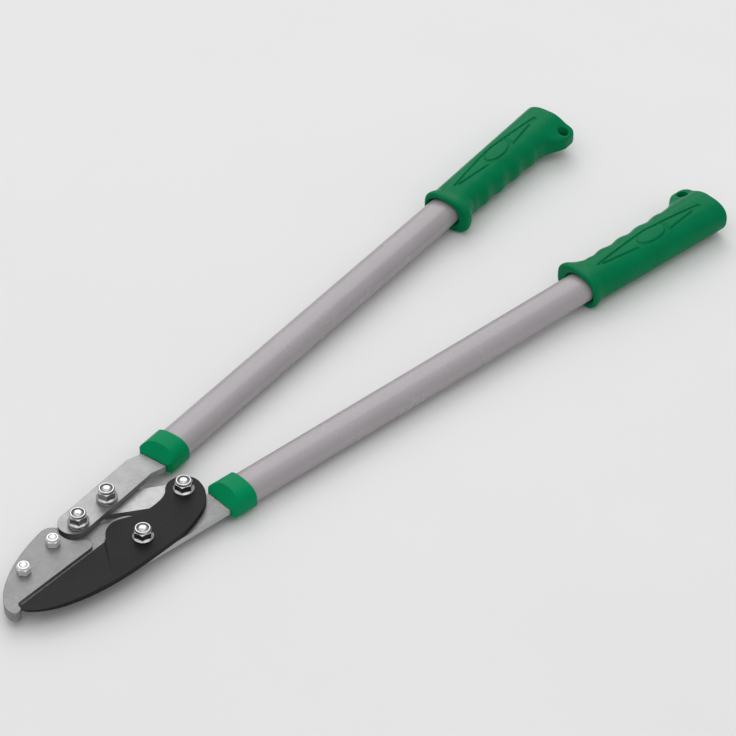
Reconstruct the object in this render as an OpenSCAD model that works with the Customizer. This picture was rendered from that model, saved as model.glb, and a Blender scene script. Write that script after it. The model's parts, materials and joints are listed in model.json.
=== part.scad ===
// Compound anvil lopper, lying flat with its jaws closed.
// X runs from the jaws to the grips, Y to the upper handle, Z up from the surface it lies on.

/* [Overall] */
// Length from the anvil tip to the grip ends
overall_length = 738; // [700:1:800]
// Angle between the two closed handles, in degrees
handle_spread = 11.6; // [11:0.1:12.2]
// Distance ahead of the anvil tip where the two handle axes cross
axes_cross = 157.3; // [155:0.1:159]

/* [Plates] */
// Thickness of the base plate, the bars and the link
plate_t = 5; // [4.6:0.1:5.4]
// Width of the flat bars
bar_w = 25; // [24:0.1:25.4]
// Thickness of the blade
blade_t = 4; // [3.5:0.1:4.5]
// Thickness of the anvil cheek
cheek_t = 4.2; // [3.5:0.1:4.5]
// Gap between plates that slide over each other
slide_gap = 0.3; // [0.2:0.05:0.4]
// How far the base plate stands proud of the cheek along the anvil face
anvil_lip = 1.2; // [0.8:0.1:1.6]
// Width of the link
link_w = 23; // [21:0.5:24]

/* [Pivots, from the anvil tip and the centre line] */
// Blade pivot, along the tool
blade_pivot_x = 123.4; // [122.5:0.1:124.5]
// Blade pivot, across the tool
blade_pivot_y = -23.1; // [-24:0.1:-22]
// Rear link pivot on the blade tail, along the tool
link_rear_x = 182.2; // [181:0.1:183]
// Rear link pivot on the blade tail, across the tool
link_rear_y = -8.6; // [-9.5:0.1:-7.5]
// Front link pivot on the upper bar, along the tool
link_front_x = 133.2; // [132:0.1:134]
// Front link pivot on the upper bar, across the tool
link_front_y = 25.7; // [24.8:0.1:26.5]
// Upper handle pivot, along the tool
handle_pivot_x = 99.2; // [98.5:0.1:100]
// Upper handle pivot, across the tool
handle_pivot_y = 22.1; // [21.5:0.1:23]
// Extra radius of the rear hole of the link
link_play = 1.6; // [1.5:0.1:2]

/* [Fasteners] */
// Diameter of the pivot bolts
pivot_d = 8; // [7.8:0.1:8.2]
// Radial clearance of a bolt in its hole
bolt_clear = 0.05; // [0.02:0.01:0.08]
// Width across the flats of the pivot bolt heads and nuts
pivot_af = 13; // [12.5:0.1:13.5]
// Height of the pivot bolt heads
pivot_head_h = 5.3; // [4.5:0.1:5.5]
// Diameter of the nut flanges
nut_flange_d = 16.8; // [16:0.1:17.2]
// Height of the lock nuts
nut_h = 9.2; // [8.5:0.1:10]
// Thickness of the spacing washers on the upper bar
washer_t = 3; // [2.5:0.1:3.5]
// Diameter of the anvil bolts
anvil_bolt_d = 6; // [5.8:0.1:6.2]
// Width across the flats of the anvil bolts and nuts
anvil_af = 10; // [9.8:0.1:10.4]
// Height of the anvil lock nuts
anvil_nut_h = 7.6; // [7:0.1:8.5]

/* [Handles] */
// Width of the oval tube
tube_w = 29.5; // [29:0.1:30.5]
// Height of the oval tube
tube_h = 20.5; // [20:0.1:21.5]
// Wall of the oval tube
tube_wall = 1.5; // [1.2:0.1:1.5]
// Distance from the crossing point of the axes to the ferrule nose
ferrule_s = 352.5; // [352:0.1:355]
// Length of the ferrule
ferrule_l = 24; // [23:0.5:28]
// Wall of the ferrule over the tube
ferrule_wall = 2; // [1.6:0.1:2.2]
// Length of the grip
grip_l = 158; // [155:0.5:162]
// Reach of the finger guard at the front of the grip from the handle axis
guard_reach = 26; // [24:0.5:27]
// Height of the front rim of the grip
rim_h = 32; // [31:0.5:34]
// Height of the grip behind its rim
grip_h = 29.4; // [28.5:0.2:30.5]
// Spacing of the finger bumps
finger_pitch = 22; // [20:0.5:24]
// Rise of a finger bump above and below its mean line
finger_rise = 0.8; // [0.5:0.1:1.2]
// Reach of the hanging lug from the handle axis
lug_reach = 31.5; // [30.5:0.5:33]
// Thickness of the hanging lug
lug_h = 14; // [13:0.2:15]
// Radius of the hanging hole
hang_r = 4.2; // [3.6:0.1:4.4]

/* [Hidden] */
$fn = 64;

// Finishes
zinc = [0.72, 0.73, 0.74];
dull_zinc = [0.6, 0.61, 0.62];
black_coat = [0.12, 0.12, 0.12];
bright_plate = [0.82, 0.83, 0.84];
nylon = [0.45, 0.45, 0.43];
tube_paint = [0.62, 0.6, 0.62];
green = [0.03, 0.5, 0.3];

// Heights: the handles, the base plate and the link share one level, the blade and upper bar the next
axis_z = rim_h / 2;
base_z0 = axis_z - plate_t / 2;
base_z1 = axis_z + plate_t / 2;
upper_z0 = base_z1 + slide_gap;
blade_z1 = upper_z0 + blade_t;
bar_z1 = upper_z0 + plate_t;
cheek_z1 = base_z1 + cheek_t;

// Places in plan
function at(x, y) = [x - overall_length / 2, y];
apex_x = -overall_length / 2 - axes_cross;
half_spread = handle_spread / 2;
blade_pivot = at(blade_pivot_x, blade_pivot_y);
link_rear = at(link_rear_x, link_rear_y);
link_front = at(link_front_x, link_front_y);
handle_pivot = at(handle_pivot_x, handle_pivot_y);
anvil_bolt_places = [at(71.8, 21.6), at(36.2, 16)];

hole_r = pivot_d / 2;
anvil_hole_r = anvil_bolt_d / 2;
tube_clear = 0.1;
// Length of a cutter that passes right through any plate
through = 60;

// Ferrule: blunt nose round the bar, then slopes above and below
nose_h = 6.6;
nose_corner = 5;
ferrule_w = tube_w + 2 * ferrule_wall;
ferrule_h = tube_h + 2 * ferrule_wall;
ferrule_fullness = 2.6;
tube_inset = 9.5;
tube_s = ferrule_s + tube_inset;
tang_l = 50;
rivet_inset = 17;
rivet_s = ferrule_s + rivet_inset;
rivet_r = 3;
rivet_sink = 0.3;

// Grip: the rear corner of its lug sets the overall length
end_round = 4;
front_round = 2.5;
first_finger = 40.5;
last_finger = 121;
lug_corner = 8;
lug_inset = 0.5;
lug_corner_t = grip_l - lug_inset - lug_corner;
lug_corner_n = lug_corner - lug_reach;
grip_s = (overall_length / 2 - apex_x - lug_corner + lug_corner_n * sin(half_spread)) / cos(half_spread)
  - lug_corner_t;
tube_in_grip = 118;
tube_end_s = grip_s + tube_in_grip;
hang_t = 146.5;
hang_n = -24.3;

// Curves: a cubic without its last point, an arc, and an oval of a given fullness
function bez(a, b, c, d, n = 10) = [
  for (i = [0 : n - 1])
    let (t = i / n, u = 1 - t)
      u * u * u * a + 3 * t * u * u * b + 3 * t * t * u * c + t * t * t * d
];
function arc(c, r, a0, a1, n = 16) = [
  for (i = [0 : n]) c + r * [cos(a0 + (a1 - a0) * i / n), sin(a0 + (a1 - a0) * i / n)]
];
function on_circle(c, r, a) = c + r * [cos(a), sin(a)];
function signed_pow(v, e) = sign(v) * pow(abs(v), e);
function oval(w, h, p = 2.2, n = 48) = [
  for (i = [0 : n - 1])
    [w / 2 * signed_pow(cos(360 * i / n), 2 / p), h / 2 * signed_pow(sin(360 * i / n), 2 / p)]
];
function ease(a, b, t) = let (u = min(max((t - a) / (b - a), 0), 1)) u * u * (3 - 2 * u);
function ramp(a, b, t) = min(max((t - a) / (b - a), 0), 1);

// Outline of the jaw that the base plate and the cheek share
function jaw_hook(lip) = concat(
  bez(at(0, -6), at(0, -9.5), at(1, -12), at(3.8, -12)),
  bez(at(3.8, -12), at(6, -12), at(8, -11), at(8.3, -9.5)),
  bez(at(8.3, -9.5), at(8.8, -7), at(9.5, -4.7 - lip), at(12, -4.7 - lip)),
  [at(12, -4.7 - lip)]
);
jaw_back = bez(at(75, 38.6), at(30, 31), at(0, 9), at(0, -6), 24);

// Handle frame: X along the axis from the crossing point, Y outwards, Z up from the axis
module on_upper() {
  translate([apex_x, 0, axis_z]) rotate([0, 0, half_spread]) children();
}
module on_lower() {
  mirror([0, 1, 0]) on_upper() children();
}
// Prism with its section in the Y and Z of the handle frame
module along(s0, s1, section) {
  translate([s0, 0, 0]) rotate([90, 0, 90]) linear_extrude(s1 - s0) polygon(section);
}
module at_pivot(p, z = 0) {
  translate([p[0], p[1], z]) children();
}
module pivot_hole(p, r = hole_r) {
  at_pivot(p, -1) cylinder(h = through, r = r);
}
module rivet_hole() {
  translate([rivet_s, 0, -tube_h]) cylinder(h = 2 * tube_h, r = rivet_r + bolt_clear);
}
module hex(af, h) {
  cylinder(h = h, d = af / cos(30), $fn = 6);
}

// Fasteners: hexagon bolts, and lock nuts with a collar that holds a nylon ring
stud_proud = 0.6;
ring_sink = 0.3;
module bolt(af, head_h, thread_r, seat_z, end_z) {
  chamfer = 0.8;
  r = thread_r - bolt_clear;
  color(bright_plate) {
    translate([0, 0, seat_z - head_h]) hex(af, head_h);
    translate([0, 0, seat_z]) cylinder(h = end_z - chamfer - seat_z, r = r);
    translate([0, 0, end_z - chamfer]) cylinder(h = chamfer, r1 = r, r2 = r - chamfer);
  }
}
module lock_nut(af, h, thread_r, collar_r, ring_r, ring_h, flange_d = 0) {
  flange_t = 1.6;
  hex_top = h - ring_h - ring_sink;
  color(bright_plate) difference() {
    union() {
      if (flange_d > 0) cylinder(h = flange_t, d1 = flange_d, d2 = flange_d - 1);
      hex(af, hex_top);
      translate([0, 0, flange_t]) cylinder(h = h - flange_t, r = collar_r);
    }
    translate([0, 0, -1]) cylinder(h = h + 2, r = thread_r);
    translate([0, 0, hex_top]) cylinder(h = h, r = ring_r);
  }
}
module lock_ring(h, thread_r, ring_r, ring_h) {
  color(nylon) translate([0, 0, h - ring_h - ring_sink]) difference() {
    cylinder(h = ring_h, r = ring_r - bolt_clear);
    translate([0, 0, -1]) cylinder(h = ring_h + 2, r = thread_r);
  }
}
pivot_collar_r = 6.2;
pivot_ring_r = 5.4;
pivot_ring_h = 1.7;
module pivot_nut() {
  lock_nut(pivot_af, nut_h, hole_r, pivot_collar_r, pivot_ring_r, pivot_ring_h, nut_flange_d);
}
module pivot_ring() {
  lock_ring(nut_h, hole_r, pivot_ring_r, pivot_ring_h);
}
module pivot_bolt(seat_z, nut_z) {
  bolt(pivot_af, pivot_head_h, hole_r, seat_z, nut_z + nut_h + stud_proud);
}
module spacing_washer() {
  color(bright_plate) difference() {
    cylinder(h = washer_t, d = nut_flange_d);
    translate([0, 0, -1]) cylinder(h = washer_t + 2, r = hole_r);
  }
}

// Root: base plate with the anvil jaw, in one piece with the bar of the lower handle
// Its outer edge runs on in the line of that bar to a round corner under the blade
function bar_edge(x) = at(x, -(x + axes_cross) * tan(half_spread) - bar_w / 2 / cos(half_spread));
corner_x = 105.5;
jaw_round = 15.5;
lower_bar_s = 290;
base_outline = concat(
  jaw_hook(anvil_lip),
  bez(at(94, -2.5 - anvil_lip), at(104, -2.2 - anvil_lip), at(corner_x, -12), at(corner_x, -23)),
  bez(at(corner_x, -23), at(corner_x, -33), bar_edge(107), bar_edge(117)),
  [bar_edge(117), bar_edge(140), at(165, -30)],
  bez(at(160, -20.5), at(149, -19), at(146, -12), at(142, -5)),
  bez(at(142, -5), at(137, 4), at(131, 10.2), at(122, 10.2)),
  bez(at(122, 10.2), at(117, 10.2), at(115.5, 12), on_circle(handle_pivot, jaw_round, -20)),
  arc(handle_pivot, jaw_round, -20, 125),
  bez(on_circle(handle_pivot, jaw_round, 125), at(88, 38), at(84, 38.9), at(75, 38.6)),
  jaw_back
);
module base_plate() {
  color(dull_zinc) difference() {
    union() {
      translate([0, 0, base_z0]) linear_extrude(plate_t) polygon(base_outline);
      on_lower() translate([lower_bar_s, -bar_w / 2, -plate_t / 2])
        cube([tube_s + tang_l - lower_bar_s, bar_w, plate_t]);
    }
    pivot_hole(blade_pivot);
    pivot_hole(handle_pivot);
    for (p = anvil_bolt_places) pivot_hole(p, anvil_hole_r);
    on_lower() rivet_hole();
  }
}

// Cheek bolted on the jaw, cut away round the end of the upper bar
bar_end_s = 256.5;
cheek_cut_r = 17;
cheek_outline = concat(
  jaw_hook(0),
  bez(at(87, -2.7), at(90.5, -2.5), at(93, 0), at(93, 3.5)),
  [at(93, 3.5), at(92, 9.5), at(97, 22)],
  bez(at(86, 30), at(86, 35), at(82, 39.2), at(75, 38.6)),
  jaw_back
);
module anvil_cheek() {
  color(dull_zinc) difference() {
    translate([0, 0, base_z1]) linear_extrude(cheek_t) polygon(cheek_outline);
    pivot_hole(handle_pivot, cheek_cut_r);
    for (p = anvil_bolt_places) pivot_hole(p, anvil_hole_r);
  }
}
anvil_head_h = 4;
anvil_collar_r = 4.7;
anvil_ring_r = 4;
anvil_ring_h = 1.5;
module anvil_bolts() {
  for (p = anvil_bolt_places) at_pivot(p)
    bolt(anvil_af, anvil_head_h, anvil_hole_r, base_z0, cheek_z1 + anvil_nut_h + stud_proud);
}
module anvil_nuts() {
  for (p = anvil_bolt_places) at_pivot(p, cheek_z1)
    lock_nut(anvil_af, anvil_nut_h, anvil_hole_r, anvil_collar_r, anvil_ring_r, anvil_ring_h);
}
module anvil_lock_rings() {
  for (p = anvil_bolt_places) at_pivot(p, cheek_z1)
    lock_ring(anvil_nut_h, anvil_hole_r, anvil_ring_r, anvil_ring_h);
}

// Blade pivot: bolt up through the base plate, nut above the blade
blade_nut_z = blade_z1 + slide_gap;
module blade_pivot_bolt() { at_pivot(blade_pivot) pivot_bolt(base_z0, blade_nut_z); }
module blade_pivot_nut() { at_pivot(blade_pivot, blade_nut_z) pivot_nut(); }
module blade_pivot_lock_ring() { at_pivot(blade_pivot, blade_nut_z) pivot_ring(); }

// Upper handle pivot: bolt up through the base plate, washer and nut above the upper bar
handle_washer_z = bar_z1 + slide_gap;
handle_nut_z = handle_washer_z + washer_t;
module handle_pivot_bolt() { at_pivot(handle_pivot) pivot_bolt(base_z0, handle_nut_z); }
module handle_pivot_washer() { at_pivot(handle_pivot, handle_washer_z) spacing_washer(); }
module handle_pivot_nut() { at_pivot(handle_pivot, handle_nut_z) pivot_nut(); }
module handle_pivot_lock_ring() { at_pivot(handle_pivot, handle_nut_z) pivot_ring(); }

// Blade: hooked tail for the link, and a cutting part ground thinner towards its edge
edge_tip = at(12.5, -6.1);
edge_heel = at(103, -3.7);
edge_angle = atan2(edge_heel[1] - edge_tip[1], edge_heel[0] - edge_tip[0]);
edge_half = 0.3;
grind_angle = 3;
tail_r = 14.5;
blade_outline = concat(
  [edge_tip],
  bez(edge_heel, at(105, 0), at(110.5, 5.3), at(118, 5.3)),
  bez(at(118, 5.3), at(128, 5.3), at(134, -4.5), at(150, -4.5)),
  bez(at(150, -4.5), at(159, -4.5), at(167, -3.8), on_circle(link_rear, tail_r, 140)),
  arc(link_rear, tail_r, 140, -20),
  bez(on_circle(link_rear, tail_r, -20), at(193.2, -24), at(183, -34.5), at(170, -37.5)),
  bez(at(170, -37.5), at(160, -41), at(150, -43.2), at(136, -43.2)),
  bez(at(136, -43.2), at(100, -43.6), at(80, -42.6), at(60, -38.4)),
  bez(at(60, -38.4), at(38, -33.8), at(18, -26), at(9.3, -13.5)),
  bez(at(9.3, -13.5), at(7.9, -11), at(9.5, -7.5), edge_tip, 5)
);
grind_region = [at(0, 0), at(104, 0), at(70, -48), at(0, -48)];
module grind_cut(side) {
  intersection() {
    linear_extrude(through) polygon(grind_region);
    translate([edge_tip[0], edge_tip[1], upper_z0 + blade_t / 2]) rotate([0, 0, edge_angle])
      mirror([0, 0, side < 0 ? 1 : 0]) rotate([-grind_angle, 0, 0])
        translate([-through, -2 * through, edge_half]) cube([4 * through, 3 * through, through]);
  }
}
module blade() {
  color(black_coat) difference() {
    translate([0, 0, upper_z0]) linear_extrude(blade_t) polygon(blade_outline);
    grind_cut(1);
    grind_cut(-1);
    pivot_hole(blade_pivot);
    pivot_hole(link_rear);
  }
}

// Rear link pivot: its bolt turns with the blade
under_link_z = base_z0 - slide_gap;
module link_rear_bolt() { at_pivot(link_rear) pivot_bolt(under_link_z, blade_z1); }
module link_rear_nut() { at_pivot(link_rear, blade_z1) pivot_nut(); }
module link_rear_lock_ring() { at_pivot(link_rear, blade_z1) pivot_ring(); }

// Link between the upper bar and the blade tail, with play in its rear hole
module link_plate() {
  span = link_rear - link_front;
  color(zinc) difference() {
    union() {
      at_pivot(link_front, base_z0) cylinder(h = plate_t, d = link_w);
      at_pivot(link_rear, base_z0) cylinder(h = plate_t, d = link_w);
      at_pivot(link_front, base_z0) rotate([0, 0, atan2(span[1], span[0])])
        translate([0, -link_w / 2, 0]) cube([norm(span), link_w, plate_t]);
    }
    pivot_hole(link_front);
    pivot_hole(link_rear, hole_r + link_play);
  }
}

// Bar of the upper handle: flat on the base plate, then stepped down to the handle axis
step_s0 = 334;
step_s1 = 349;
module upper_bar() {
  top = bar_z1 - axis_z;
  low = upper_z0 - axis_z;
  tang_end = tube_s + tang_l;
  profile = [
    [bar_end_s - bar_w, low], [step_s0, low], [step_s1, -plate_t / 2], [tang_end, -plate_t / 2],
    [tang_end, plate_t / 2], [step_s1 + 1, plate_t / 2], [step_s0 + 1, top], [bar_end_s - bar_w, top]
  ];
  color(zinc) difference() {
    on_upper() intersection() {
      translate([0, bar_w / 2, 0]) rotate([90, 0, 0]) linear_extrude(bar_w) polygon(profile);
      union() {
        translate([bar_end_s, 0, -through / 2]) cylinder(h = through, d = bar_w);
        translate([bar_end_s, -bar_w / 2, -through / 2])
          cube([tang_end - bar_end_s, bar_w, through]);
      }
    }
    pivot_hole(handle_pivot);
    pivot_hole(link_front);
    on_upper() rivet_hole();
  }
}

// Front link pivot: its bolt turns with the upper bar
front_nut_z = bar_z1 + washer_t;
module link_front_bolt() { at_pivot(link_front) pivot_bolt(under_link_z, front_nut_z); }
module link_front_washer() { at_pivot(link_front, bar_z1) spacing_washer(); }
module link_front_nut() { at_pivot(link_front, front_nut_z) pivot_nut(); }
module link_front_lock_ring() { at_pivot(link_front, front_nut_z) pivot_ring(); }

// Handle pieces, drawn once in the handle frame and used on both sides
module tube() {
  color(tube_paint) difference() {
    along(tube_s, tube_end_s, oval(tube_w, tube_h));
    along(tube_s - 1, tube_end_s + 1, oval(tube_w - 2 * tube_wall, tube_h - 2 * tube_wall));
    rivet_hole();
  }
}
module tang_wedges() {
  w = tube_w - 2 * tube_wall - 2 * tube_clear;
  h = tube_h - 2 * tube_wall - 2 * tube_clear;
  slot = plate_t + 2 * tube_clear;
  color(nylon) difference() {
    along(tube_s, tube_s + tang_l, oval(w, h));
    translate([tube_s - 1, -tube_w, -slot / 2]) cube([tang_l + 2, 2 * tube_w, slot]);
    rivet_hole();
  }
}
module tang_rivet() {
  h = tube_h - 2 * rivet_sink;
  color(bright_plate) translate([rivet_s, 0, -h / 2]) cylinder(h = h, r = rivet_r);
}
module ferrule() {
  rise = (ferrule_h - nose_h) / 2;
  side = [
    [0, -nose_h / 2], [rise, -ferrule_h / 2], [ferrule_l, -ferrule_h / 2],
    [ferrule_l, ferrule_h / 2], [rise, ferrule_h / 2], [0, nose_h / 2]
  ];
  inner = ferrule_w / 2 - nose_corner;
  plan = concat(
    arc([nose_corner, inner], nose_corner, 180, 90, 8),
    [[ferrule_l, ferrule_w / 2], [ferrule_l, -ferrule_w / 2]],
    arc([nose_corner, -inner], nose_corner, 270, 180, 8)
  );
  bore = oval(tube_w + 2 * tube_clear, tube_h + 2 * tube_clear);
  color(green) difference() {
    intersection() {
      along(ferrule_s, ferrule_s + ferrule_l, oval(ferrule_w, ferrule_h, ferrule_fullness));
      translate([ferrule_s, ferrule_w, 0]) rotate([90, 0, 0]) linear_extrude(2 * ferrule_w) polygon(side);
      translate([ferrule_s, 0, -ferrule_h]) linear_extrude(2 * ferrule_h) polygon(plan);
    }
    along(tube_s - tube_clear, ferrule_s + ferrule_l + 1, bore);
    translate([ferrule_s - 1, -bar_w / 2 - tube_clear, -plate_t / 2 - tube_clear])
      cube([ferrule_l, bar_w + 2 * tube_clear, plate_t + 2 * tube_clear]);
  }
}

// Grip body, lofted from ovals: reach outwards, reach inwards and half height at t from its front
function front_inset(t) = t < front_round
  ? front_round - sqrt(pow(front_round, 2) - pow(front_round - t, 2)) : 0;
function end_inset(t) = t > grip_l - end_round
  ? end_round - sqrt(max(pow(end_round, 2) - pow(t - grip_l + end_round, 2), 0)) : 0;
function inset(t) = front_inset(t) + end_inset(t);
function rim_fade(t) = 1 - ease(3, 13, t);
function guard_fade(t) = 1 - ease(4, 22, t);
function finger_wave(t) = finger_rise * cos(360 * (t - first_finger) / finger_pitch)
  * ease(22, 32, t) * (1 - ease(109, 119, t));
back_reach = 18;
back_swell = 2.4;
rim_flare = 1.8;
function reach_out(t) = back_reach + back_swell * ramp(15, 150, t) + rim_flare * rim_fade(t) - inset(t);
finger_reach = 17.8;
finger_swell = 2.6;
function mean_in(t) = finger_reach + finger_swell * ramp(20, last_finger, t);
function reach_in(t) = mean_in(t) + finger_wave(t) + (guard_reach - mean_in(t)) * guard_fade(t) - inset(t);
function half_height(t) = grip_h / 2 + (rim_h - grip_h) / 2 * rim_fade(t) - inset(t);
function fullness(t) = 2.5 + 0.4 * rim_fade(t);
grip_sides = 24;
grip_stations = concat(
  [0, 0.6, 1.5, 2.5, 4],
  [for (t = [6 : 3 : grip_l - end_round - 1]) t],
  [for (k = [0 : 6]) grip_l - end_round + end_round * sin(15 * k)]
);
function grip_ring(t) = [
  for (p = oval(2, 2, fullness(t), grip_sides))
    [t, (reach_out(t) - reach_in(t)) / 2 + p[0] * (reach_out(t) + reach_in(t)) / 2, p[1] * half_height(t)]
];
module grip_body() {
  n = grip_sides;
  last = (len(grip_stations) - 1) * n;
  points = [for (t = grip_stations) each grip_ring(t)];
  walls = [
    for (i = [0 : n : last - n], j = [0 : n - 1])
      let (a = i + j, b = i + (j + 1) % n)
        each [[a, a + n, b + n], [a, b + n, b]]
  ];
  front = [for (j = [1 : n - 2]) [0, j, j + 1]];
  back = [for (j = [1 : n - 2]) [last, last + j + 1, last + j]];
  polyhedron(points = points, faces = concat(walls, front, back));
}
// Hanging lug: a flat tab whose flank rises behind the last finger and whose rear corner is round
lug_root = 12;
lug_outline = concat(
  [[last_finger, -lug_root]],
  bez([last_finger, -finger_reach], [131, -19.5], [134, -lug_reach], [142, -lug_reach]),
  arc([lug_corner_t, lug_corner_n], lug_corner, 270, 360),
  [[lug_corner_t + lug_corner, -lug_root]]
);
module lug() {
  translate([0, 0, -lug_h / 2]) linear_extrude(lug_h) polygon(lug_outline);
}
module grip() {
  color(green) difference() {
    translate([grip_s, 0, 0]) {
      grip_body();
      lug();
    }
    along(grip_s - 1, tube_end_s + tube_clear, oval(tube_w + 2 * tube_clear, tube_h + 2 * tube_clear));
    translate([grip_s + hang_t, hang_n, -rim_h]) cylinder(h = 2 * rim_h, r = hang_r);
  }
}

module lower_tube() { on_lower() tube(); }
module lower_ferrule() { on_lower() ferrule(); }
module lower_grip() { on_lower() grip(); }
module lower_tang_wedges() { on_lower() tang_wedges(); }
module lower_tang_rivet() { on_lower() tang_rivet(); }
module upper_tube() { on_upper() tube(); }
module upper_ferrule() { on_upper() ferrule(); }
module upper_grip() { on_upper() grip(); }
module upper_tang_wedges() { on_upper() tang_wedges(); }
module upper_tang_rivet() { on_upper() tang_rivet(); }

base_plate();
anvil_cheek();
anvil_bolts();
anvil_nuts();
anvil_lock_rings();
blade_pivot_bolt();
blade_pivot_nut();
blade_pivot_lock_ring();
handle_pivot_bolt();
handle_pivot_washer();
handle_pivot_nut();
handle_pivot_lock_ring();
lower_tube();
lower_ferrule();
lower_grip();
lower_tang_wedges();
lower_tang_rivet();
blade();
link_rear_bolt();
link_rear_nut();
link_rear_lock_ring();
link_plate();
upper_bar();
link_front_bolt();
link_front_washer();
link_front_nut();
link_front_lock_ring();
upper_tube();
upper_ferrule();
upper_grip();
upper_tang_wedges();
upper_tang_rivet();
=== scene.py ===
import json
import math

import bmesh
import bpy
from mathutils import Matrix, Vector


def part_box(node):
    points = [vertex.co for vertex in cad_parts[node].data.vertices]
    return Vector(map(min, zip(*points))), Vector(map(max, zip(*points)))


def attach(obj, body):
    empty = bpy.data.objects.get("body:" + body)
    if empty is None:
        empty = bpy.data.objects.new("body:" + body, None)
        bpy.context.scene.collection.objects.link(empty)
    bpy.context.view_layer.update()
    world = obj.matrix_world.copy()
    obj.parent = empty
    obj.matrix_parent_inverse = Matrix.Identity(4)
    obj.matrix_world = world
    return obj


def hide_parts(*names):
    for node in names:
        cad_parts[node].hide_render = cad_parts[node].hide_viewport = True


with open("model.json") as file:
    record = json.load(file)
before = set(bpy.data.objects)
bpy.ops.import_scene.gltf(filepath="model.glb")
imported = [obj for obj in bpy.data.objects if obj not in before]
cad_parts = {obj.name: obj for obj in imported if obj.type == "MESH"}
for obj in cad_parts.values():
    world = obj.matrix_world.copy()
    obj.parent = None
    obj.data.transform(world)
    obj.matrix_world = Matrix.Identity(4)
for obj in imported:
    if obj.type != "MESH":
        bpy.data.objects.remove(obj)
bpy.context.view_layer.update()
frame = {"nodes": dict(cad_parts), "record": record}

# Base plate: punched from 5 mm steel, the anvil jaw and the bar of the lower handle in one piece.
# It is tumbled, which breaks its edges, and then zinc plated to a dull, slightly cloudy grey.
# The upright edges of the bar are painted lighter: painted light, standing in for the bright floor they
# face.
mm = 0.001
bodies = frame["record"]["behaviour"]["bodies"]
body_of = {node: body for body, nodes in bodies.items() for node in nodes}


def dress(bm, name, material, *nodes, sharp=35):
    """Makes a piece of a finished bmesh, which stands for the named CAD nodes and rides on their body."""
    mesh = bpy.data.meshes.new(name)
    bm.to_mesh(mesh)
    bm.free()
    mesh.shade_smooth()
    mesh.set_sharp_from_angle(angle=math.radians(sharp))
    mesh.materials.append(material)
    piece = bpy.data.objects.new(name, mesh)
    bpy.context.scene.collection.objects.link(piece)
    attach(piece, body_of[nodes[0]])
    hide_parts(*nodes)
    return piece


def merged_copy(node):
    """The mesh of a CAD node as one closed skin of whole faces."""
    bm = bmesh.new()
    bm.from_mesh(frame["nodes"][node].data)
    bmesh.ops.remove_doubles(bm, verts=bm.verts, dist=0.002 * mm)
    bmesh.ops.dissolve_limit(bm, angle_limit=math.radians(0.3), verts=bm.verts, edges=bm.edges)
    return bm


def break_edges(piece, width, angle=32, segments=3):
    """Rounds every edge of a piece that is sharper than the angle."""
    rounding = piece.modifiers.new("broken_edges", "BEVEL")
    rounding.width = width
    rounding.segments = segments
    rounding.limit_method = "ANGLE"
    rounding.angle_limit = math.radians(angle)
    rounding.harden_normals = True
    return piece


def new_group(name, inputs, outputs):
    """An empty shader node group; returns it with the sockets to read from and to write to."""
    tree = bpy.data.node_groups.new(name, "ShaderNodeTree")
    for label, kind, value in inputs:
        socket = tree.interface.new_socket(label, in_out="INPUT", socket_type=kind)
        if value is not None:
            socket.default_value = value
    for label, kind in outputs:
        tree.interface.new_socket(label, in_out="OUTPUT", socket_type=kind)
    start = tree.nodes.new("NodeGroupInput")
    end = tree.nodes.new("NodeGroupOutput")
    return tree, start.outputs, end.inputs


def one_over(tree, socket):
    """A scale that gives features of the size on the socket."""
    node = tree.nodes.new("ShaderNodeMath")
    node.operation = "DIVIDE"
    node.inputs[0].default_value = 1.0
    tree.links.new(socket, node.inputs[1])
    return node.outputs[0]


def ranged(tree, value, low, high, start=0.0, end=1.0):
    """A value moved from one range to another, and held inside it."""
    node = tree.nodes.new("ShaderNodeMapRange")
    node.inputs["From Min"].default_value = start
    node.inputs["From Max"].default_value = end
    node.inputs["To Min"].default_value = low
    node.inputs["To Max"].default_value = high
    tree.links.new(value, node.inputs["Value"])
    return node.outputs["Result"]


def tinted(tree, mask, low, high):
    """A colour between two others; each may be a colour or a socket."""
    node = tree.nodes.new("ShaderNodeMix")
    node.data_type = "RGBA"
    tree.links.new(mask, node.inputs[0])
    for place, colour in ((6, low), (7, high)):
        if isinstance(colour, bpy.types.NodeSocket):
            tree.links.new(colour, node.inputs[place])
        else:
            node.inputs[place].default_value = (*colour, 1.0)
    return node.outputs[2]


def clouds_group():
    """Soft patches of a given size, from 0 to 1."""
    tree, given, out = new_group(
        "clouds",
        [("Vector", "NodeSocketVector", None), ("Size", "NodeSocketFloat", 0.01)],
        [("Mask", "NodeSocketFloat")])
    noise = tree.nodes.new("ShaderNodeTexNoise")
    noise.inputs["Detail"].default_value = 5.0
    noise.inputs["Roughness"].default_value = 0.6
    tree.links.new(given["Vector"], noise.inputs["Vector"])
    tree.links.new(one_over(tree, given["Size"]), noise.inputs["Scale"])
    tree.links.new(ranged(tree, noise.outputs[0], 0.0, 1.0, 0.3, 0.7), out["Mask"])
    return tree


def grain_group():
    """A fine even texture, as a bent normal."""
    tree, given, out = new_group(
        "grain",
        [("Vector", "NodeSocketVector", None), ("Size", "NodeSocketFloat", 0.001),
         ("Depth", "NodeSocketFloat", 0.00002)],
        [("Normal", "NodeSocketVector")])
    noise = tree.nodes.new("ShaderNodeTexNoise")
    noise.inputs["Detail"].default_value = 2.0
    bump = tree.nodes.new("ShaderNodeBump")
    tree.links.new(given["Vector"], noise.inputs["Vector"])
    tree.links.new(one_over(tree, given["Size"]), noise.inputs["Scale"])
    tree.links.new(noise.outputs[0], bump.inputs["Height"])
    tree.links.new(given["Depth"], bump.inputs["Distance"])
    tree.links.new(bump.outputs["Normal"], out["Normal"])
    return tree


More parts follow.
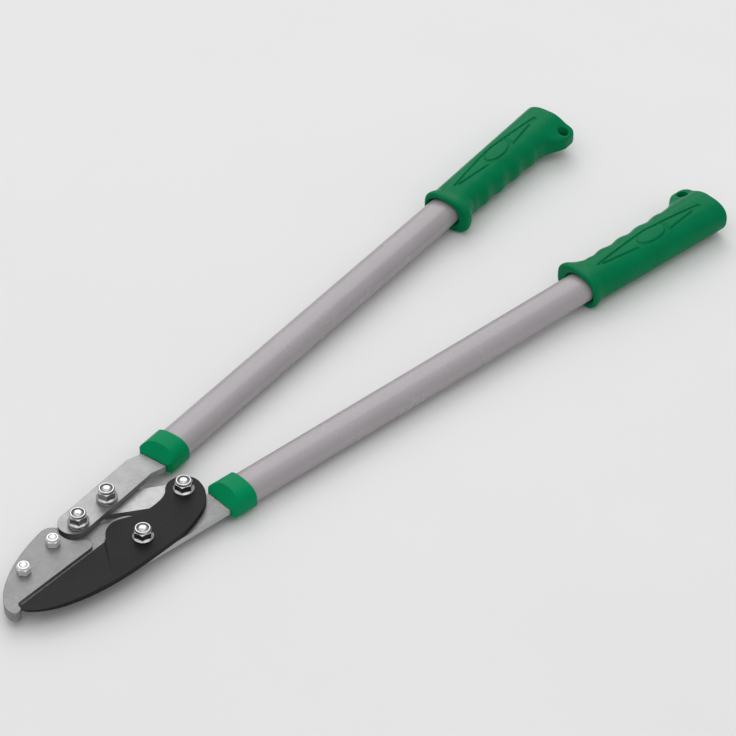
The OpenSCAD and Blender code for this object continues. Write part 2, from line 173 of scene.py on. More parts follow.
def scuffs_group():
    """Thin broken scratches that run mostly one way."""
    tree, given, out = new_group(
        "scuffs",
        [("Vector", "NodeSocketVector", None), ("Size", "NodeSocketFloat", 0.004)],
        [("Mask", "NodeSocketFloat")])
    stretch = tree.nodes.new("ShaderNodeMapping")
    stretch.inputs["Rotation"].default_value = (0.3, 0.2, 0.5)
    stretch.inputs["Scale"].default_value = (0.12, 1.0, 1.0)
    cells = tree.nodes.new("ShaderNodeTexVoronoi")
    cells.feature = "DISTANCE_TO_EDGE"
    breaks = tree.nodes.new("ShaderNodeTexNoise")
    both = tree.nodes.new("ShaderNodeMath")
    both.operation = "MULTIPLY"
    scale = one_over(tree, given["Size"])
    tree.links.new(given["Vector"], stretch.inputs["Vector"])
    tree.links.new(stretch.outputs["Vector"], cells.inputs["Vector"])
    tree.links.new(given["Vector"], breaks.inputs["Vector"])
    tree.links.new(scale, cells.inputs["Scale"])
    tree.links.new(scale, breaks.inputs["Scale"])
    tree.links.new(ranged(tree, cells.outputs["Distance"], 1.0, 0.0, 0.0, 0.03), both.inputs[0])
    tree.links.new(ranged(tree, breaks.outputs[0], 0.0, 1.0, 0.5, 0.65), both.inputs[1])
    tree.links.new(both.outputs[0], out["Mask"])
    return tree


clouds = clouds_group()
grain = grain_group()
scuffs = scuffs_group()


def placed(tree, group, **values):
    """Puts a node group into a material; each value is a number or a socket."""
    node = tree.nodes.new("ShaderNodeGroup")
    node.node_tree = group
    for label, value in values.items():
        if isinstance(value, bpy.types.NodeSocket):
            tree.links.new(value, node.inputs[label])
        else:
            node.inputs[label].default_value = value
    return node.outputs[0]


def new_material(name, metallic=0.0):
    """A material with its node tree, its shader and the object coordinates."""
    material = bpy.data.materials.new(name)
    material.use_nodes = True
    tree = material.node_tree
    shader = tree.nodes["Principled BSDF"]
    shader.inputs["Metallic"].default_value = metallic
    place = tree.nodes.new("ShaderNodeTexCoord").outputs["Object"]
    return material, tree, shader, place


def roughen(tree, shader, place, size, depth):
    """Gives a shader a fine grain."""
    bent = placed(tree, grain, Vector=place, Size=size, Depth=depth)
    tree.links.new(bent, shader.inputs["Normal"])


def painted_edge_light(tree, place, start, end):
    """Painted light: 1 on a bar's upright edges and 0 on its flat faces, fading in between two places along
    X.
    """
    facing = tree.nodes.new("ShaderNodeSeparateXYZ")
    tree.links.new(tree.nodes.new("ShaderNodeNewGeometry").outputs["Normal"], facing.inputs["Vector"])
    slope = tree.nodes.new("ShaderNodeMath")
    slope.operation = "ABSOLUTE"
    tree.links.new(facing.outputs["Z"], slope.inputs[0])
    along = tree.nodes.new("ShaderNodeSeparateXYZ")
    tree.links.new(place, along.inputs["Vector"])
    both = tree.nodes.new("ShaderNodeMath")
    both.operation = "MULTIPLY"
    tree.links.new(ranged(tree, slope.outputs[0], 1.0, 0.0, 0.2, 0.6), both.inputs[0])
    tree.links.new(ranged(tree, along.outputs["X"], 0.0, 1.0, start, end), both.inputs[1])
    return both.outputs[0]


def zinc(name, dark, light, smoothest, roughest, edge_light=None):
    """Zinc plating on rolled steel: cloudy, finely grained, with a few handling scratches, and painted light
    on a bar's upright edges where a span is given.
    """
    material, tree, shader, place = new_material(name, metallic=1.0)
    patches = placed(tree, clouds, Vector=place, Size=14 * mm)
    specks = placed(tree, clouds, Vector=place, Size=1.6 * mm)
    lines = placed(tree, scuffs, Vector=place, Size=5 * mm)
    base = tinted(tree, patches, dark, light)
    speckled = tinted(tree, ranged(tree, specks, 0.0, 0.25), base, [tone * 0.8 for tone in dark])
    bright = [min(tone * 1.25, 1.0) for tone in light]
    scratched = tinted(tree, ranged(tree, lines, 0.0, 0.35), speckled, bright)
    # Painted light: upright edges within the span get a lighter tone, standing in for the bright floor they
    # face.
    if edge_light:
        scratched = tinted(tree, painted_edge_light(tree, place, *edge_light["span"]), scratched, edge_light["tone"])
    tree.links.new(scratched, shader.inputs["Base Color"])
    tree.links.new(ranged(tree, specks, smoothest, roughest), shader.inputs["Roughness"])
    roughen(tree, shader, place, 0.9 * mm, 0.02 * mm)
    return material


plate_dark = (0.245, 0.245, 0.245)
plate_light = (0.29, 0.29, 0.29)
# The bar's upright edges: a lighter tone as painted light from the bright floor beside them.
bar_edge_light = dict(span=(-290 * mm, -250 * mm), tone=(0.54, 0.54, 0.54))
plate_zinc = zinc("plate_zinc", plate_dark, plate_light, smoothest=0.46, roughest=0.58, edge_light=bar_edge_light)
plate_edge = 0.5 * mm
break_edges(dress(merged_copy("base_plate"), "jaw_plate", plate_zinc, "base_plate"), plate_edge)

# Anvil cheek: the upper half of the jaw, punched from thinner plate and finished like the base plate.
# Two bolts clamp it down, and it is cut away in an arc round the end of the upper bar.
cheek_zinc = zinc("cheek_zinc", plate_dark, plate_light, smoothest=0.46, roughest=0.58)
break_edges(dress(merged_copy("anvil_cheek"), "jaw_cheek", cheek_zinc, "anvil_cheek"), plate_edge)

# Anvil bolts and lock nuts: small hexagon bolts from below, and nuts with a rolled collar above.
# Pale plated steel; each nut holds a nylon ring that grips the end of its bolt.
around_bolt = 72


def loft(rings, around, point):
    """A closed skin over rings of points; point(turn, ring) gives a place, turn going from 0 to 1."""
    bm = bmesh.new()
    last = len(rings) - 1
    bmesh.ops.create_grid(bm, x_segments=around, y_segments=last, size=0.5)
    for vert in bm.verts:
        column = round((vert.co.x + 0.5) * around) % around
        vert.co = point(column / around, rings[round((vert.co.y + 0.5) * last)])
    bmesh.ops.remove_doubles(bm, verts=bm.verts, dist=0.001 * mm)
    bmesh.ops.holes_fill(bm, edges=[edge for edge in bm.edges if edge.is_boundary])
    bmesh.ops.recalc_face_normals(bm, faces=bm.faces)
    return bm


def hexagon_reach(angle, flats):
    """How far a hexagon reaches from its middle in one direction."""
    sixth = math.pi / 3
    return flats / 2 / math.cos((angle + sixth / 2) % sixth - sixth / 2)


def turned(rings, centre, turn=0.0):
    """A shape of rings round an upright axis; each has a height and a radius or, on a hexagon, a height, the
    most that it may reach and its size across flats."""
    def point(part, ring):
        """A point of one ring."""
        angle = 2 * math.pi * part
        reach = ring[1]
        if len(ring) == 3:
            reach = min(reach, hexagon_reach(angle, ring[2]))
        along = math.cos(angle + turn) * reach
        across = math.sin(angle + turn) * reach
        return centre + Vector((along, across, ring[0])) * mm
    return loft(rings, around_bolt, point)


def chamfered(low, high, flats, top):
    """Rings of a hexagon whose corners are turned off at its upper or lower end."""
    face_share = 0.96
    corner = face_share * flats / 2
    slope = math.tan(math.radians(30))
    depth = (flats / 2 / math.cos(math.pi / 6) - corner) * slope
    steps = [(depth * part / 4, corner + depth * part / 4 / slope) for part in range(5)]
    if top:
        return [(low, math.inf, flats)] + [(high - drop, limit, flats) for drop, limit in reversed(steps)]
    return [(low + rise, limit, flats) for rise, limit in steps] + [(high, math.inf, flats)]


def bolt_rings(seat, end, head, flats, radius, dome):
    """A hexagon bolt from its head below to the chamfered and slightly domed end of its thread."""
    chamfer = 0.8
    face_share = 0.9
    under = seat - head
    rim = end - dome
    crown = [(end - dome * (part / 6) ** 2, (radius - chamfer) * part / 6) for part in range(5, -1, -1)]
    rings = [(under, 0), (under, face_share * flats / 2)] + chamfered(under, seat, flats, False)
    rings += [(seat, radius), (rim - chamfer, radius), (rim, radius - chamfer)]
    return rings + crown


lip_thick = 0.3


def nut_rings(height, flats, bore, collar, lip, ring, ring_height, flange):
    """A lock nut from its seat up: flange or plain foot, hexagon, collar rolled over its nylon ring."""
    hexagon_top = height - ring_height - lip_thick
    if flange:
        foot = 1.7
        rings = [(0, bore), (0, flange - 0.35), (0.15, flange - 0.1), (0.4, flange), (0.75, flange - 0.1)]
        rings += [(0.95, flange - 0.35)]
    else:
        foot = 0.4
        rings = [(0, bore), (0, 0.94 * flats / 2), (0.2, 0.97 * flats / 2)]
    rings += chamfered(foot, hexagon_top, flats, True)
    rings += [(hexagon_top + 0.1, collar), (height - 0.6, collar), (height - 0.25, collar - 0.12)]
    rings += [(height - 0.07, collar - 0.33), (height, collar - 0.6), (height, lip + 0.15)]
    rings += [(height - 0.12, lip), (height - lip_thick, lip), (height - lip_thick - 0.02, ring)]
    rings += [(hexagon_top, ring), (hexagon_top, bore), (0, bore)]
    return rings


def insert_rings(nut):
    """The nylon ring inside a lock nut of these sizes, with a domed top."""
    slack = 0.05
    low = nut["height"] - nut["ring_height"] - lip_thick
    high = nut["height"] - lip_thick - slack
    bore = nut["bore"]
    outside = nut["ring"] - slack
    return [(low, bore), (low, outside), (high - 0.3, outside), (high, outside - 0.35),
            (high - 0.05, bore + 0.4), (high - 0.4, bore), (low, bore)]


def plated(name, dark, light, metallic, smoothest, roughest):
    """Plating on a machined fastener: from satin to nearly a mirror, a little uneven."""
    material, tree, shader, place = new_material(name, metallic)
    patches = placed(tree, clouds, Vector=place, Size=3 * mm)
    lines = placed(tree, scuffs, Vector=place, Size=2.5 * mm)
    tone = tinted(tree, patches, dark, light)
    scratched = tinted(tree, ranged(tree, lines, 0.0, 0.3), tone, (0.95, 0.95, 0.95))
    tree.links.new(scratched, shader.inputs["Base Color"])
    tree.links.new(ranged(tree, patches, smoothest, roughest), shader.inputs["Roughness"])
    roughen(tree, shader, place, 2.2 * mm, 0.16 * mm)
    return material


def moulded_nylon(name):
    """Dark grey nylon as it comes from the mould, faintly waxy; its very dark tone also paints in the shade
    round each stud inside the nut's collar.
    """
    material, tree, shader, place = new_material(name)
    patches = placed(tree, clouds, Vector=place, Size=2 * mm)
    tone = tinted(tree, patches, (0.07, 0.07, 0.065), (0.11, 0.11, 0.1))
    tree.links.new(tone, shader.inputs["Base Color"])
    tree.links.new(ranged(tree, patches, 0.4, 0.55), shader.inputs["Roughness"])
    roughen(tree, shader, place, 0.6 * mm, 0.01 * mm)
    return material


def joined(parts):
    """Several bmeshes as one."""
    whole = bmesh.new()
    for part in parts:
        mesh = bpy.data.meshes.new("part")
        part.to_mesh(mesh)
        part.free()
        whole.from_mesh(mesh)
        bpy.data.meshes.remove(mesh)
    return whole


# Anvil fasteners: bright plating, but near white and only partly metal, so faces turned to the lamps paint
# in white glints instead of reflecting them.
plating_with_painted_glint = plated("plating_with_painted_glint", (0.8, 0.8, 0.8), (0.9, 0.9, 0.9),
                       metallic=0.6, smoothest=0.28, roughest=0.38)
nylon = moulded_nylon("grey_nylon")
anvil_flats = 10.0
anvil_head = 4.0
anvil_radius = 2.95
anvil_dome = 0.15
anvil_nut = dict(height=7.6, flats=anvil_flats, bore=3.0, collar=4.7, lip=3.3, ring=4.0,
                 ring_height=1.5, flange=0)
heads_low, heads_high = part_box("anvil_bolts")
half_across = Vector((anvil_flats / 2 / math.cos(math.pi / 6), anvil_flats / 2)) * mm
anvil_axes = [heads_high.xy - half_across, heads_low.xy + half_across]
anvil_turns = [math.radians(42), math.radians(34)]
bolt_seat = heads_low.z / mm + anvil_head
bolt_end = heads_high.z / mm
anvil_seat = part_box("anvil_nuts")[0].z
bolts = []
nuts = []
inserts = []
for axis, turn in zip(anvil_axes, anvil_turns):
    seat = Vector((*axis, anvil_seat))
    rings = bolt_rings(bolt_seat, bolt_end, anvil_head, anvil_flats, anvil_radius, anvil_dome)
    bolts.append(turned(rings, axis.to_3d(), turn))
    nuts.append(turned(nut_rings(**anvil_nut), seat, turn))
    inserts.append(turned(insert_rings(anvil_nut), seat))
dress(joined(bolts), "anvil_screws", plating_with_painted_glint, "anvil_bolts")
dress(joined(nuts), "anvil_lock_nuts", plating_with_painted_glint, "anvil_nuts")
dress(joined(inserts), "anvil_nylon_rings", nylon, "anvil_lock_rings")

# Blade: cut from 4 mm tool steel, with a hooked tail, ground thinner towards its edge on both faces.
# It is hardened and has a satin black low-friction coating, off which the edge itself is honed.
blade_round = 0.3 * mm
honed_width = 0.7 * mm
edge_start = Vector((-356.5, -6.1, 0)) * mm
edge_end = Vector((-266, -3.7, 0)) * mm


def black_coating(name):
    """Satin black coating, rubbed a little, with a strip of bare honed steel along the edge."""
    material, tree, shader, place = new_material(name)
    patches = placed(tree, clouds, Vector=place, Size=18 * mm)
    lines = placed(tree, scuffs, Vector=place, Size=6 * mm)
    base = tinted(tree, patches, (0.006, 0.006, 0.006), (0.009, 0.009, 0.009))
    rubbed = tinted(tree, ranged(tree, lines, 0.0, 0.25), base, (0.04, 0.04, 0.04))
    line = edge_end - edge_start
    turn = tree.nodes.new("ShaderNodeMapping")
    turn.vector_type = "TEXTURE"
    turn.inputs["Location"].default_value = edge_start
    turn.inputs["Rotation"].default_value = (0.0, 0.0, math.atan2(line.y, line.x))
    tree.links.new(place, turn.inputs["Vector"])
    parts = tree.nodes.new("ShaderNodeSeparateXYZ")
    tree.links.new(turn.outputs["Vector"], parts.inputs["Vector"])
    across = ranged(tree, parts.outputs["Y"], 0.0, 1.0, -honed_width, -0.8 * honed_width)
    along = ranged(tree, parts.outputs["X"], 1.0, 0.0, line.length - 2 * mm, line.length)
    honed = tree.nodes.new("ShaderNodeMath")
    honed.operation = "MULTIPLY"
    tree.links.new(across, honed.inputs[0])
    tree.links.new(along, honed.inputs[1])
    bare = honed.outputs[0]
    tree.links.new(tinted(tree, bare, rubbed, (0.24, 0.24, 0.24)), shader.inputs["Base Color"])
    tree.links.new(bare, shader.inputs["Metallic"])
    shader.inputs["Specular IOR Level"].default_value = 0.15
    tree.links.new(ranged(tree, patches, 0.4, 0.5), shader.inputs["Roughness"])
    roughen(tree, shader, place, 0.5 * mm, 0.012 * mm)
    return material


blade_coat = black_coating("black_coating")
break_edges(dress(merged_copy("blade"), "cutting_blade", blade_coat, "blade", sharp=20), blade_round)

# Link and upper bar: flat steel strip, plated brighter than the jaw. The bar is cranked before its ferrule.
# The link hangs under the bar, and its slightly oversize rear hole takes the blade's bolt.
bright_zinc = zinc("bright_zinc", (0.36, 0.36, 0.36), (0.45, 0.45, 0.45), smoothest=0.42, roughest=0.52)
break_edges(dress(merged_copy("link_plate"), "link_strip", bright_zinc, "link_plate"), plate_edge)
bar_zinc = zinc("bar_zinc", (0.29, 0.29, 0.29), (0.37, 0.37, 0.37), smoothest=0.4, roughest=0.52)
break_edges(dress(merged_copy("upper_bar"), "cranked_bar", bar_zinc, "upper_bar"), plate_edge)

# Pivot bolts, nuts and washers: four like sets that hold blade, link and handle together.
# Bolts stand head down, flanged lock nuts close them on top, and thick washers space two of them.
bright_plating = plated("bright_plating", (0.46, 0.46, 0.47), (0.56, 0.56, 0.57),
                        metallic=1.0, smoothest=0.12, roughest=0.26)
pivot_flats = 13.0
pivot_head = 5.3
pivot_radius = 3.95
pivot_dome = 0.5
pivot_nut = dict(height=9.2, flats=pivot_flats, bore=4.0, collar=6.2, lip=4.95, ring=5.4,
                 ring_height=1.7, flange=8.4)
pivot_turns = {"blade_pivot": 12, "handle_pivot": 20, "link_rear": 4, "link_front": 16}
for pivot, degrees in pivot_turns.items():
    turn = math.radians(degrees)
    low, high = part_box(pivot + "_bolt")
    axis = ((low + high) / 2).xy
    seat = Vector((*axis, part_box(pivot + "_nut")[0].z))
    bolt_seat = low.z / mm + pivot_head
    rings = bolt_rings(bolt_seat, high.z / mm, pivot_head, pivot_flats, pivot_radius, pivot_dome)
    dress(turned(rings, axis.to_3d(), turn), pivot + "_screw", bright_plating, pivot + "_bolt")
    nut = turned(nut_rings(**pivot_nut), seat, turn)
    dress(nut, pivot + "_flange_nut", bright_plating, pivot + "_nut")
    insert = turned(insert_rings(pivot_nut), seat)
    dress(insert, pivot + "_nylon_ring", nylon, pivot + "_lock_ring")
washer_bore = pivot_nut["bore"]
washer_edge = 0.4
washer_shoulder = 0.12
for pivot in ("handle_pivot", "link_front"):
    low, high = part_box(pivot + "_washer")
    thick = (high.z - low.z) / mm
    wide = (high.x - low.x) / 2 / mm
    lower = [(0, wide - washer_edge), (washer_shoulder, wide - washer_shoulder), (washer_edge, wide)]
    upper = [(thick - height, reach) for height, reach in reversed(lower)]
    rings = [(0, washer_bore)] + lower + upper + [(thick, washer_bore), (0, washer_bore)]
    centre = Vector((*((low + high) / 2).xy, low.z))
    dress(turned(rings, centre), pivot + "_spacer", bright_plating, pivot + "_washer")

# Handle tubes: round steel tube pressed oval and powder painted a warm grey.
# Each slips over the tang of its bar with two nylon wedges and a rivet, which the ferrule covers.
axes_cross = -526.3 * mm
axis_height = 16 * mm
half_spread = math.radians(5.8)
to_row = Matrix.Translation((axes_cross, 0, axis_height)) @ Matrix.Rotation(half_spread, 4, "Z")
handle_frame = {
    "upper": to_row,
    "lower": Matrix.Scale(-1, 4, (0, 1, 0)) @ to_row,
}
tube_width = 29.5
tube_height = 20.5
tube_wall = 1.5
tube_fullness = 2.2
tube_start = 362.0
tube_end = 857.98


def oval(part, half_width, half_height, fullness):
    """A point on an oval; a fuller one has squarer shoulders."""
    angle = 2 * math.pi * part
    power = 2 / fullness
    across = math.copysign(abs(math.cos(angle)) ** power, math.cos(angle))
    up = math.copysign(abs(math.sin(angle)) ** power, math.sin(angle))
    return half_width * across, half_height * up


def on_handle(bm, side):
    """Moves a bmesh drawn on a handle's axis to its place."""
    bm.transform(handle_frame[side])
    bmesh.ops.recalc_face_normals(bm, faces=bm.faces)
    return bm


def powder_paint(name):
    """Satin metallic powder paint: even, faintly pebbled, with little rubs."""
    material, tree, shader, place = new_material(name, metallic=0.09)
    patches = placed(tree, clouds, Vector=place, Size=40 * mm)
    lines = placed(tree, scuffs, Vector=place, Size=9 * mm)
    base = tinted(tree, patches, (0.352, 0.328, 0.343), (0.376, 0.35, 0.367))
    rubbed = tinted(tree, ranged(tree, lines, 0.0, 0.2), base, (0.5, 0.49, 0.5))
    tree.links.new(rubbed, shader.inputs["Base Color"])
    shader.inputs["Specular IOR Level"].default_value = 0.38
    tree.links.new(ranged(tree, patches, 0.22, 0.3), shader.inputs["Roughness"])
    roughen(tree, shader, place, 1.4 * mm, 0.03 * mm)
    return material


def tube_point(part, ring):
    """A point of the tube, on a ring given by its place along the handle and how far it is drawn in."""
    along, inset = ring
    out, up = oval(part, tube_width / 2 - inset, tube_height / 2 - inset, tube_fullness)
    return Vector((along, out, up)) * mm


paint = powder_paint("grey_powder_paint")
around_tube = 96
tube_rings = [(tube_start, tube_wall), (tube_start, 0), (tube_end, 0), (tube_end, tube_wall)]
tube_rings += [tube_rings[0]]
for side in handle_frame:
    tube = on_handle(loft(tube_rings, around_tube, tube_point), side)
    dress(tube, side + "_oval_tube", paint, side + "_tube")
    for node, material in ((side + "_tang_wedges", nylon), (side + "_tang_rivet", bright_plating)):
        materials = frame["nodes"][node].data.materials
        materials.clear()
        materials.append(material)

# Ferrules: moulded green collars pressed over the tube ends, sloped down to the slot for the bar.
# They hide the rivet; their edges are softly rounded, as a mould leaves them.
collar_round = 0.7 * mm


def moulded_green(name, dark, light):
    """Semi-gloss green plastic with a faint moulded texture and a little dulling from handling."""
    material, tree, shader, place = new_material(name)
    patches = placed(tree, clouds, Vector=place, Size=25 * mm)
    specks = placed(tree, clouds, Vector=place, Size=2 * mm)
    base = tinted(tree, patches, dark, light)
    tree.links.new(base, shader.inputs["Base Color"])
    shader.inputs["Specular IOR Level"].default_value = 0.045
    tree.links.new(ranged(tree, specks, 0.2, 0.3), shader.inputs["Roughness"])
    roughen(tree, shader, place, 0.8 * mm, 0.015 * mm)
    return material


ferrule_green = moulded_green("ferrule_green", (0.0, 0.225, 0.086), (0.0, 0.25, 0.096))
for side in handle_frame:
    node = side + "_ferrule"
    collar = dress(merged_copy(node), side + "_collar", ferrule_green, node, sharp=30)
    break_edges(collar, collar_round, angle=30)

# Grips: moulded in a darker green than the ferrules, pushed over the tubes to the bottom of their sockets.
# Guard and finger bumps are on the inner side, a leaf-shaped relief is on top and bottom, and a lug with a
# hole to hang the tool by is at the end.
socket_depth = 118.0
socket_clear = 0.1
socket_mouth = [(5.0, 0.0), (3.4, 0.5), (1.6, 1.6), (0.4, 2.1)]
grip_start = tube_end - socket_depth
grip_length = 157.9
front_round = 2.5
end_round = 4.0
back_reach = 17.9
back_swell = 2.4
finger_reach = 17.8
finger_swell = 2.6
guard_reach = 26.0
rim_half = 16.0
body_half = 14.7
rim_flare = 1.8
first_finger = 40.5
last_finger = 121.0
finger_pitch = 22.0
finger_rise = 0.8
finger_hollow = 0.025
body_fullness = 2.5
rim_fullness = 2.9
rim_span = (3, 13)
guard_span = (4, 22)
back_span = (15, 150)
finger_span = (20, last_finger)
bumps_start = (22, 32)
bumps_end = (109, 119)
hollows_start = (24, 34)
hollows_end = (107, 117)
lug_span = (110, 143)
lug_reach = 30.0
lug_half = 7.0
lug_fullness = 6
lug_blend = 4
lug_edge = 1.8
lug_corner = 8.0
lug_setback = 0.5
lug_end = grip_length - lug_setback
hole_along = 146.5
hole_across = -24.3
hole_radius = 4.2
hole_chamfer = 0.7
hole_half = 5.5
knife_half = 10.0
dish_depth = 0.6
dish_span = (4.6, 6.8)

# On a grip, along runs back from its front rim, out leads away from the other handle, up is square to both.


def ramp(start, end, value):
    """Goes straight from 0 to 1 between two values."""
    return min(max((value - start) / (end - start), 0.0), 1.0)


def ease(start, end, value):
    """Goes smoothly from 0 to 1 between two values."""
    part = ramp(start, end, value)
    return part * part * (3 - 2 * part)


def wave(along):
    """1 on a finger bump and -1 between two, over the length that has them."""
    bumps = math.cos(2 * math.pi * (along - first_finger) / finger_pitch)
    return bumps * ease(*bumps_start, along) * (1 - ease(*bumps_end, along))


def turned_edge(radius, past):
    """How far a rounded edge has drawn in, at a distance past the start of its rounding."""
    return radius - math.sqrt(max(radius ** 2 - max(past, 0.0) ** 2, 0.0))


def grip_ring(along, inset):
    """Section of the grip, drawn in by the inset: its reach inwards and outwards, half height and fullness,
    then the reach and half height of the lug."""
    rim = 1 - ease(*rim_span, along)
    guard = 1 - ease(*guard_span, along)
    mean = finger_reach + finger_swell * ramp(*finger_span, along)
    outwards = back_reach + back_swell * ramp(*back_span, along) + rim_flare * rim
    inwards = mean + finger_rise * wave(along) + (guard_reach - mean) * guard
    half = body_half + (rim_half - body_half) * rim
    lug = 0.0
    if along < lug_end:
        lug = lug_reach * ease(*lug_span, along) - turned_edge(lug_corner, along - lug_end + lug_corner)
    thick = lug_half - turned_edge(lug_edge, along - lug_end + lug_edge)
    fullness = body_fullness + (rim_fullness - body_fullness) * rim
    return along, inwards - inset, outwards - inset, half - inset, fullness, lug, thick


def socket_ring(along, wider):
    """Section of the socket, which the tube fills; it has no lug."""
    across = tube_width / 2 + socket_clear + wider
    return along, across, across, tube_height / 2 + socket_clear + wider, tube_fullness, 0.0, 0.0


relief_start = 20.0
relief_end = 141.0
relief_centre = 1.6
relief_depth = 1.3
relief_gap = 2.6
recess_slope = 0.8
wall_run = 0.7
leaf_tip = 1.8
leaf_middle = 8.6
leaf_power = 1.2
pad_middle = 82.0
pad_length = 29.0
pad_width = 12.2
front_fin_tip = 26.0
front_fin_tail = 60.0
rear_fin_tail = 103.0
rear_fin_tip = 130.0
fin_point = 0.5
fin_slope = 0.12


def leaf_half(along):
    """Half width of the leaf-shaped recess on the grip."""
    middle = (relief_start + relief_end) / 2
    towards_tip = abs(along - middle) / (relief_end - middle)
    return leaf_middle - (leaf_middle - leaf_tip) * towards_tip ** leaf_power


def pad_inside(along, across):
    """How far a place is inside the nearest of the three pads, in mm; negative outside."""
    away = math.hypot((along - pad_middle) / (pad_length / 2), across / (pad_width / 2))
    oval_pad = (1 - away) * pad_width / 2
    room = leaf_half(along) - relief_gap - abs(across)
    front_fin = min(room, (along - front_fin_tip) * fin_point, (front_fin_tail - along) * fin_slope)
    rear_fin = min(room, (rear_fin_tip - along) * fin_point, (along - rear_fin_tail) * fin_slope)
    return max(oval_pad, front_fin, rear_fin)


def relief(along, out):
    """How deep the recess is at a place on the grip's top."""
    across = out - relief_centre
    ends = min(along - relief_start, relief_end - along) * recess_slope
    inside = min(leaf_half(along) - abs(across), ends)
    if inside <= 0:
        return 0.0
    beside_pads = 1 - ease(-wall_run, 0.0, pad_inside(along, across))
    return relief_depth * ease(0.0, wall_run, inside) * beside_pads


def oval_reach(angle, across, half, fullness):
    """How far an oval reaches from its middle in one direction."""
    sides = abs(math.cos(angle) / across) ** fullness + abs(math.sin(angle) / half) ** fullness
    return sides ** (-1 / fullness)


inner_crowding = 0.7
tab_fade = (0.0, 0.35)
hollow_fade = (0.1, 0.9)
relief_fade = (0.55, 0.8)
dish_fade = (0.6, 0.9)


def grip_point(part, ring):
    """A point of the grip; the points crowd towards the inner side, where the lug is."""
    along, inwards, outwards, half, fullness, lug, thick = ring
    in_socket = thick == 0
    angle = 2 * math.pi * part + inner_crowding * math.sin(2 * math.pi * part)
    across = outwards if math.cos(angle) > 0 else inwards
    reach = oval_reach(angle, across, half, fullness)
    if lug > 0:
        tab = oval_reach(angle, lug, thick, lug_fullness) * ease(*tab_fade, -math.cos(angle))
        reach = (reach ** lug_blend + tab ** lug_blend) ** (1 / lug_blend)
    out = reach * math.cos(angle)
    up = reach * math.sin(angle)
    if not in_socket:
        between = (1 - wave(along)) / 2 * ease(*hollows_start, along) * (1 - ease(*hollows_end, along))
        up *= 1 - finger_hollow * between * ease(*hollow_fade, -out / inwards)
        up -= math.copysign(relief(along, out) * ease(*relief_fade, abs(up) / half), up)
        dish = dish_depth * (1 - ease(*dish_span, math.hypot(along - hole_along, out - hole_across)))
        up -= math.copysign(dish * ease(*dish_fade, abs(up) / lug_half), up)
    return Vector((grip_start + along, out, up)) * mm


def cut(body, tool):
    """Takes the shape of one bmesh out of another; returns what is left as a mesh."""
    shapes = []
    for name, shape in (("bored", body), ("knife", tool)):
        mesh = bpy.data.meshes.new(name)
        shape.to_mesh(mesh)
        shape.free()
        shapes.append(bpy.data.objects.new(name, mesh))
        bpy.context.scene.collection.objects.link(shapes[-1])
    boring = shapes[0].modifiers.new("hole", "BOOLEAN")
    boring.object = shapes[1]
    boring.solver = "EXACT"
    bpy.context.view_layer.update()
    left = bpy.data.meshes.new_from_object(shapes[0].evaluated_get(bpy.context.evaluated_depsgraph_get()))
    for shape in shapes:
        mesh = shape.data
        bpy.data.objects.remove(shape)
        bpy.data.meshes.remove(mesh)
    return left


ring_step = 0.55
body_start = 3.0
end_start = grip_length - end_round
end_turns = 15
front_steps = [0.0, 0.15, 0.5, 1.1, 1.8, front_round]
body_count = int((end_start - body_start) / ring_step) + 1
body_steps = [body_start + ring_step * count for count in range(body_count)]
end_angles = [math.radians(90 * count / end_turns) for count in range(end_turns + 1)]
end_steps = [end_start + end_round * math.sin(angle) for angle in end_angles]
grip_rings = [socket_ring(socket_depth, 0.0)]
grip_rings += [socket_ring(along, wider) for along, wider in socket_mouth]
grip_rings += [grip_ring(along, turned_edge(front_round, front_round - along)) for along in front_steps]
grip_rings += [grip_ring(along, 0.0) for along in body_steps]
grip_rings += [grip_ring(along, turned_edge(end_round, along - end_start)) for along in end_steps]
hole_mouth = hole_radius + hole_chamfer
upper_hole = [(hole_half, hole_radius), (hole_half + hole_chamfer, hole_mouth), (knife_half, hole_mouth)]
hole_rings = [(-height, radius) for height, radius in reversed(upper_hole)] + upper_hole


def hole_point(part, ring):
    """A point of the knife that bores the hanging hole."""
    angle = 2 * math.pi * part
    height, radius = ring
    along = hole_along + math.cos(angle) * radius
    return Vector((grip_start + along, hole_across + math.sin(angle) * radius, height)) * mm


grip_green = moulded_green("grip_green", (0.0, 0.162, 0.06), (0.0, 0.184, 0.069))
around_grip = 256
around_hole = 48
bored_grip = cut(loft(grip_rings, around_grip, grip_point), loft(hole_rings, around_hole, hole_point))
for side in handle_frame:
    grip = bmesh.new()
    grip.from_mesh(bored_grip)
    dress(on_handle(grip, side), side + "_hand_grip", grip_green, side + "_grip", sharp=45)
bpy.data.meshes.remove(bored_grip)

# Floor: a pale plain sheet, matt and almost even in tone.
# The grip rims and the fronts of the ferrules rest on it, so it leans a little.
floor_half = 12.0
rims_x = 213 * mm
collar_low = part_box("lower_ferrule")[0]
lean = math.atan2(collar_low.z, rims_x - collar_low.x)
sheet = bmesh.new()
bmesh.ops.create_grid(sheet, x_segments=8, y_segments=8, size=floor_half)
sheet.transform(Matrix.Translation((rims_x, 0, 0)) @ Matrix.Rotation(lean, 4, "Y"))
floor_mesh = bpy.data.meshes.new("floor")
sheet.to_mesh(floor_mesh)
sheet.free()
floor = bpy.data.objects.new("floor", floor_mesh)
bpy.context.scene.collection.objects.link(floor)
pale, tree, shader, place = new_material("pale_floor")
patches = placed(tree, clouds, Vector=place, Size=300 * mm)
tree.links.new(tinted(tree, patches, (0.79, 0.79, 0.79), (0.81, 0.81, 0.81)), shader.inputs["Base Color"])
shader.inputs["Roughness"].default_value = 0.9
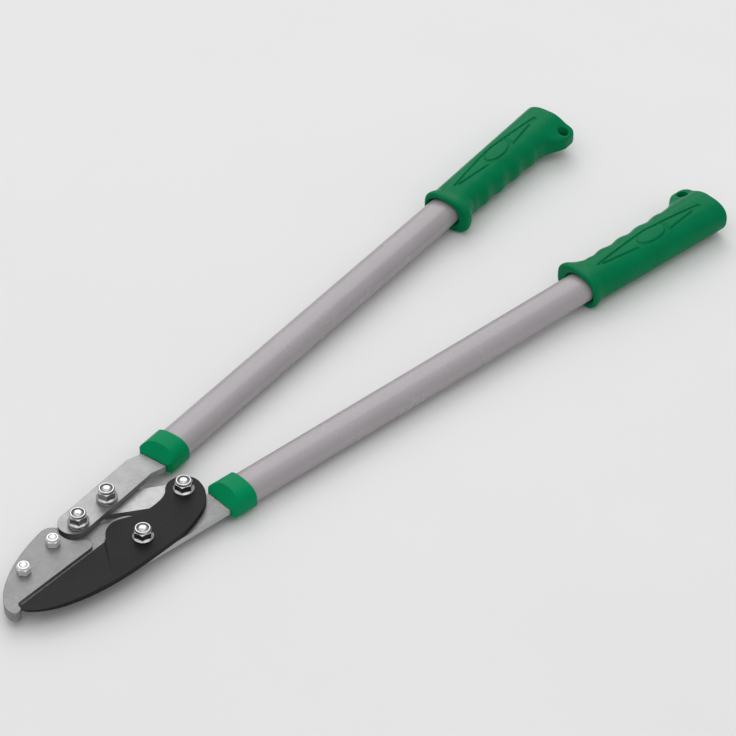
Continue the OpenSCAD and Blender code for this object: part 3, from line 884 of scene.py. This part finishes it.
shader.inputs["Specular IOR Level"].default_value = 0.1
floor_mesh.materials.append(pale)

# Light: broad softboxes overhead and above the camera, which keep the shadows close under the tool.
# One behind the tool is mirrored by its flat metal, and an even room round them fills the rest.
scene = bpy.context.scene


def softbox(name, bearing, height, distance, width, length, brightness):
    """A softbox that faces the tool, at a bearing from +X and a height above the floor, both in degrees."""
    lamp = bpy.data.lights.new(name, "AREA")
    lamp.shape = "RECTANGLE"
    lamp.size = width
    lamp.size_y = length
    lamp.energy = math.pi * brightness * width * length
    flat = math.cos(math.radians(height))
    turn = math.radians(bearing)
    direction = Vector((math.cos(turn) * flat, math.sin(turn) * flat, math.sin(math.radians(height))))
    box = bpy.data.objects.new(name, lamp)
    box.location = direction * distance
    box.rotation_euler = direction.to_track_quat("Z", "Y").to_euler()
    scene.collection.objects.link(box)


softbox("top_softbox", bearing=100, height=76, distance=5.0, width=8.0, length=8.0, brightness=0.5)
softbox("front_softbox", bearing=240, height=55, distance=6.0, width=7.0, length=7.0, brightness=0.42)
softbox("back_softbox", bearing=45, height=38, distance=6.0, width=4.5, length=4.9, brightness=1.5)
world = bpy.data.worlds.new("room")
scene.world = world
world.use_nodes = True
room = world.node_tree.nodes["Background"]
room.inputs["Color"].default_value = (1.0, 1.0, 1.0, 1.0)
room.inputs["Strength"].default_value = 0.52

# Camera: a long lens well above the tool, looking past the jaws to the grips.
# It stands back far enough that the two handles taper only a little.
target = Vector((31.1, -2.4, 1.8)) * mm
camera_distance = 2.835
heading = math.radians(42.2)
drop = math.radians(41)
look = Vector((math.cos(heading) * math.cos(drop), math.sin(heading) * math.cos(drop), -math.sin(drop)))
camera = bpy.data.cameras.new("camera")
camera.lens = 171.3
camera.sensor_width = 36.0
camera_object = bpy.data.objects.new("camera", camera)
camera_object.location = target - look * camera_distance
camera_object.rotation_euler = look.to_track_quat("-Z", "Y").to_euler()
scene.collection.objects.link(camera_object)
scene.camera = camera_object
scene.view_settings.view_transform = "Standard"

bpy.context.view_layer.update()
